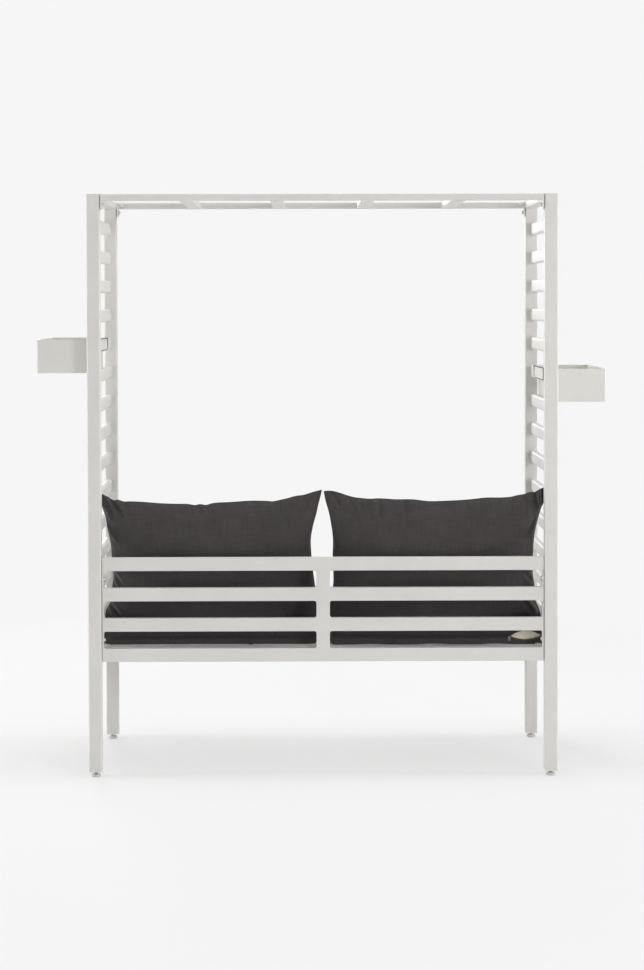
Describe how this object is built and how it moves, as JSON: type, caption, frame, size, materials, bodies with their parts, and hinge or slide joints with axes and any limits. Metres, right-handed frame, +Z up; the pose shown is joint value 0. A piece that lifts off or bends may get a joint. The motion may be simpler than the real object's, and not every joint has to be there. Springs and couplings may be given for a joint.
{
  "type": "arbour seat",
  "caption": "Garden seat for two in painted metal, with slatted sides, an open slatted roof, a railed back, loose cushions and planters that hook onto the side slats.",
  "frame": {"origin": "on the floor, under the middle of the seat", "axes": "+Z up, +Y towards the back panel, -Y the side people sit down from, +X the left side seen from behind"},
  "size_m": [1.7126, 0.65, 1.737],
  "materials": {
    "powder_coat": "satin powder coat, pale warm grey",
    "zinc_plate": "zinc plated steel",
    "foot_plastic": "moulded pale grey plastic, with a steel stud",
    "cushion_cloth": "woven charcoal polyester"
  },
  "bodies": {
    "frame": {"post_rear_left": "powder_coat", "post_front_left": "powder_coat", "post_rear_right": "powder_coat", "post_front_right": "powder_coat", "side_slat_left_01": "powder_coat", "side_slat_left_02": "powder_coat", "side_slat_left_03": "powder_coat", "side_slat_left_04": "powder_coat", "side_slat_left_05": "powder_coat", "side_slat_left_06": "powder_coat", "side_slat_left_07": "powder_coat", "side_slat_left_08": "powder_coat", "side_slat_left_09": "powder_coat", "side_slat_left_10": "powder_coat", "side_slat_left_11": "powder_coat", "side_slat_left_12": "powder_coat", "side_slat_left_13": "powder_coat", "side_slat_left_14": "powder_coat", "side_slat_right_01": "powder_coat", "side_slat_right_02": "powder_coat", "side_slat_right_03": "powder_coat", "side_slat_right_04": "powder_coat", "side_slat_right_05": "powder_coat", "side_slat_right_06": "powder_coat", "side_slat_right_07": "powder_coat", "side_slat_right_08": "powder_coat", "side_slat_right_09": "powder_coat", "side_slat_right_10": "powder_coat", "side_slat_right_11": "powder_coat", "side_slat_right_12": "powder_coat", "side_slat_right_13": "powder_coat", "side_slat_right_14": "powder_coat", "seat_side_rail_left": "powder_coat", "seat_side_rail_right": "powder_coat", "roof_side_rail_left": "powder_coat", "roof_side_rail_right": "powder_coat", "roof_rail_rear": "powder_coat", "roof_rail_front": "powder_coat", "roof_slat_1": "powder_coat", "roof_slat_2": "powder_coat", "roof_slat_3": "powder_coat", "roof_slat_4": "powder_coat", "back_panel": "powder_coat", "seat_deck": "powder_coat", "roof_bolt_rear_left": "zinc_plate", "roof_bolt_front_left": "zinc_plate", "roof_bolt_rear_right": "zinc_plate", "roof_bolt_front_right": "zinc_plate"},
    "foot_rear_left": {"foot_rear_left": "foot_plastic"},
    "foot_front_left": {"foot_front_left": "foot_plastic"},
    "foot_rear_right": {"foot_rear_right": "foot_plastic"},
    "foot_front_right": {"foot_front_right": "foot_plastic"},
    "planter_left": {"planter_left": "powder_coat"},
    "planter_right": {"planter_right": "powder_coat"},
    "seat_cushion_left": {"seat_cushion_left": "cushion_cloth"},
    "seat_cushion_right": {"seat_cushion_right": "cushion_cloth"},
    "back_cushion_left": {"back_cushion_left": "cushion_cloth"},
    "back_cushion_right": {"back_cushion_right": "cushion_cloth"}
  },
  "joints": [
    {"name": "foot_rear_left_screw", "type": "slide", "parent": "frame", "child": "foot_rear_left", "axis": [0, 0, -1], "range_m": [0, 0.012]},
    {"name": "foot_front_left_screw", "type": "slide", "parent": "frame", "child": "foot_front_left", "axis": [0, 0, -1], "range_m": [0, 0.012]},
    {"name": "foot_rear_right_screw", "type": "slide", "parent": "frame", "child": "foot_rear_right", "axis": [0, 0, -1], "range_m": [0, 0.012]},
    {"name": "foot_front_right_screw", "type": "slide", "parent": "frame", "child": "foot_front_right", "axis": [0, 0, -1], "range_m": [0, 0.012]},
    {"name": "planter_left_lift", "type": "slide", "parent": "frame", "child": "planter_left", "axis": [0, 0, 1], "range_m": [0, 0.04]},
    {"name": "planter_right_lift", "type": "slide", "parent": "frame", "child": "planter_right", "axis": [0, 0, 1], "range_m": [0, 0.04]},
    {"name": "seat_cushion_left_lift", "type": "slide", "parent": "frame", "child": "seat_cushion_left", "axis": [0, 0, 1], "range_m": [0, 0.15]},
    {"name": "seat_cushion_right_lift", "type": "slide", "parent": "frame", "child": "seat_cushion_right", "axis": [0, 0, 1], "range_m": [0, 0.15]},
    {"name": "back_cushion_left_lift", "type": "slide", "parent": "seat_cushion_left", "child": "back_cushion_left", "axis": [0, 0, 1], "range_m": [0, 0.15]},
    {"name": "back_cushion_right_lift", "type": "slide", "parent": "seat_cushion_right", "child": "back_cushion_right", "axis": [0, 0, 1], "range_m": [0, 0.15]}
  ]
}
